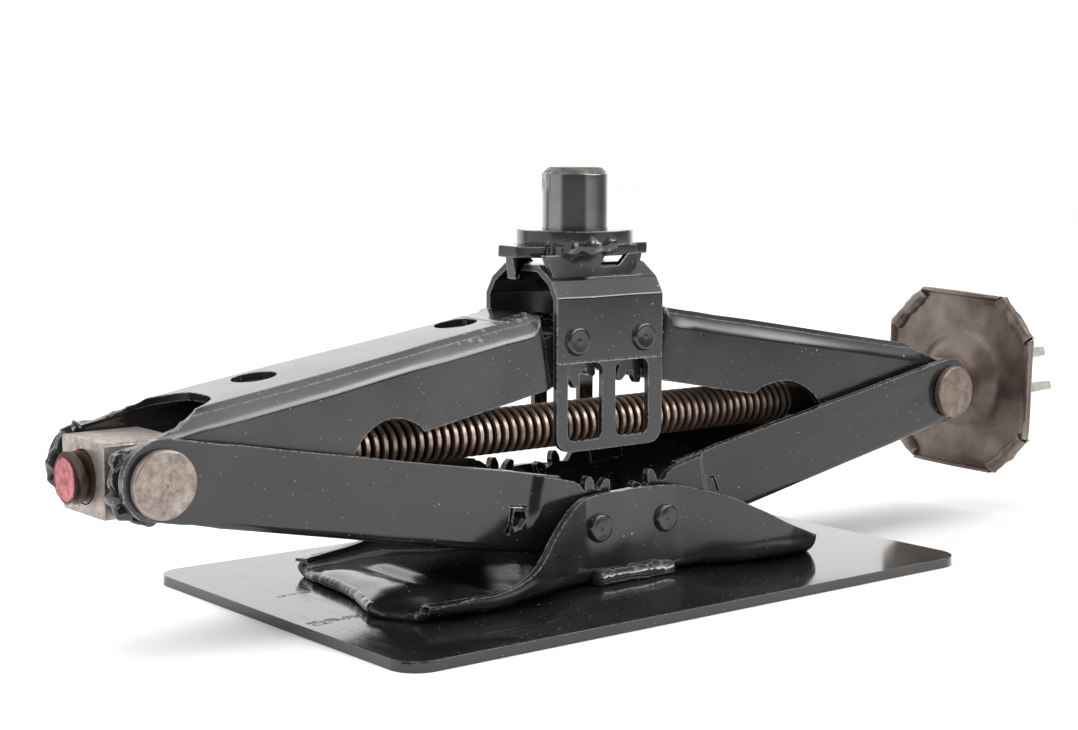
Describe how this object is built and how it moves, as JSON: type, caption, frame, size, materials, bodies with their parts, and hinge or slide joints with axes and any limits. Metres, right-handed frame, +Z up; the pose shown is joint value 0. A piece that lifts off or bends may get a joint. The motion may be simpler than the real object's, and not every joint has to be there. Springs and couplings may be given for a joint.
{
  "type": "scissor car jack",
  "caption": "Scissor car jack with geared channel arms, a lead screw with a hand wheel, a flat base and a round lifting post on a bracket.",
  "frame": {"origin": "on the underside of the base plate, midway between the two base pivots", "axes": "+X along the lead screw toward the hand wheel, +Y across the jack, +Z up"},
  "size_m": [0.5213, 0.175, 0.1629],
  "materials": {
    "gloss_paint": "gloss black paint with dust, worn at its edges",
    "plate_paint": "gloss black paint, scratched near its left end",
    "bare_steel": "bare, mottled",
    "screw_steel": "bronze phosphate with dark grease in the grooves",
    "wheel_steel": "passivated, brownish",
    "zinc": "zinc plated",
    "weld": "painted weld bead"
  },
  "bodies": {
    "base": {"base_plate": "plate_paint", "base_bracket": "gloss_paint", "bracket_welds": "weld", "base_rivet_left": "gloss_paint", "base_rivet_right": "gloss_paint"},
    "lower_left_arm": {"lower_left_arm": "gloss_paint"},
    "lower_right_arm": {"lower_right_arm": "gloss_paint"},
    "upper_left_arm": {"upper_left_arm": "gloss_paint"},
    "upper_right_arm": {"upper_right_arm": "gloss_paint"},
    "left_trunnion": {"left_trunnion_nut": "bare_steel", "left_trunnion_pins": "bare_steel", "left_trunnion_washers": "gloss_paint"},
    "right_trunnion": {"right_trunnion_block": "bare_steel", "right_trunnion_pins": "bare_steel", "right_trunnion_washers": "gloss_paint"},
    "drive": {"lead_screw": "screw_steel", "stop_collar": "bare_steel", "thrust_bearing": "bare_steel", "wheel_sleeve": "wheel_steel", "hand_wheel": "wheel_steel", "drive_yoke": "zinc", "screw_end_rivet": "bare_steel"},
    "top": {"top_bracket": "gloss_paint", "top_rivet_left": "gloss_paint", "top_rivet_right": "gloss_paint", "top_washers": "gloss_paint", "saddle_plate": "gloss_paint", "saddle_welds": "weld", "lift_flange": "gloss_paint", "flange_weld": "weld", "lift_post": "gloss_paint"}
  },
  "joints": [
    {"name": "lift", "type": "hinge", "parent": "base", "child": "lower_left_arm", "pos_m": [-0.017, 0, 0.026], "axis": [0, 1, 0], "range_deg": [-2.5, 49]},
    {"name": "lower_right_pivot", "type": "hinge", "parent": "base", "child": "lower_right_arm", "pos_m": [0.017, 0, 0.026], "axis": [0, -1, 0], "range_deg": [-2.6, 49.1]},
    {"name": "left_trunnion_level", "type": "hinge", "parent": "lower_left_arm", "child": "left_trunnion", "pos_m": [-0.1986, 0, 0.0613], "axis": [0, 1, 0], "range_deg": [-49.1, 2.6]},
    {"name": "right_trunnion_level", "type": "hinge", "parent": "lower_right_arm", "child": "right_trunnion", "pos_m": [0.1986, 0, 0.0613], "axis": [0, -1, 0], "range_deg": [-49.1, 2.6]},
    {"name": "upper_left_pivot", "type": "hinge", "parent": "lower_left_arm", "child": "upper_left_arm", "pos_m": [-0.1986, 0, 0.0613], "axis": [0, 1, 0], "range_deg": [-98.1, 5.1]},
    {"name": "upper_right_pivot", "type": "hinge", "parent": "lower_right_arm", "child": "upper_right_arm", "pos_m": [0.1986, 0, 0.0613], "axis": [0, -1, 0], "range_deg": [-98.1, 5.1]},
    {"name": "top_level", "type": "hinge", "parent": "upper_left_arm", "child": "top", "pos_m": [-0.017, 0, 0.0966], "axis": [0, 1, 0], "range_deg": [-2.6, 49.1]},
    {"name": "screw_turn", "type": "hinge", "parent": "right_trunnion", "child": "drive", "pos_m": [0.1986, 0, 0.0613], "axis": [1, 0, 0], "continuous": true}
  ],
  "couplings": [
    {"joint": "lower_right_pivot", "follows": "lift", "ratio": 1},
    {"joint": "left_trunnion_level", "follows": "lift", "ratio": -1},
    {"joint": "right_trunnion_level", "follows": "lift", "ratio": -1},
    {"joint": "upper_left_pivot", "follows": "lift", "ratio": -2},
    {"joint": "upper_right_pivot", "follows": "lift", "ratio": -2},
    {"joint": "top_level", "follows": "lift", "ratio": 1}
  ]
}
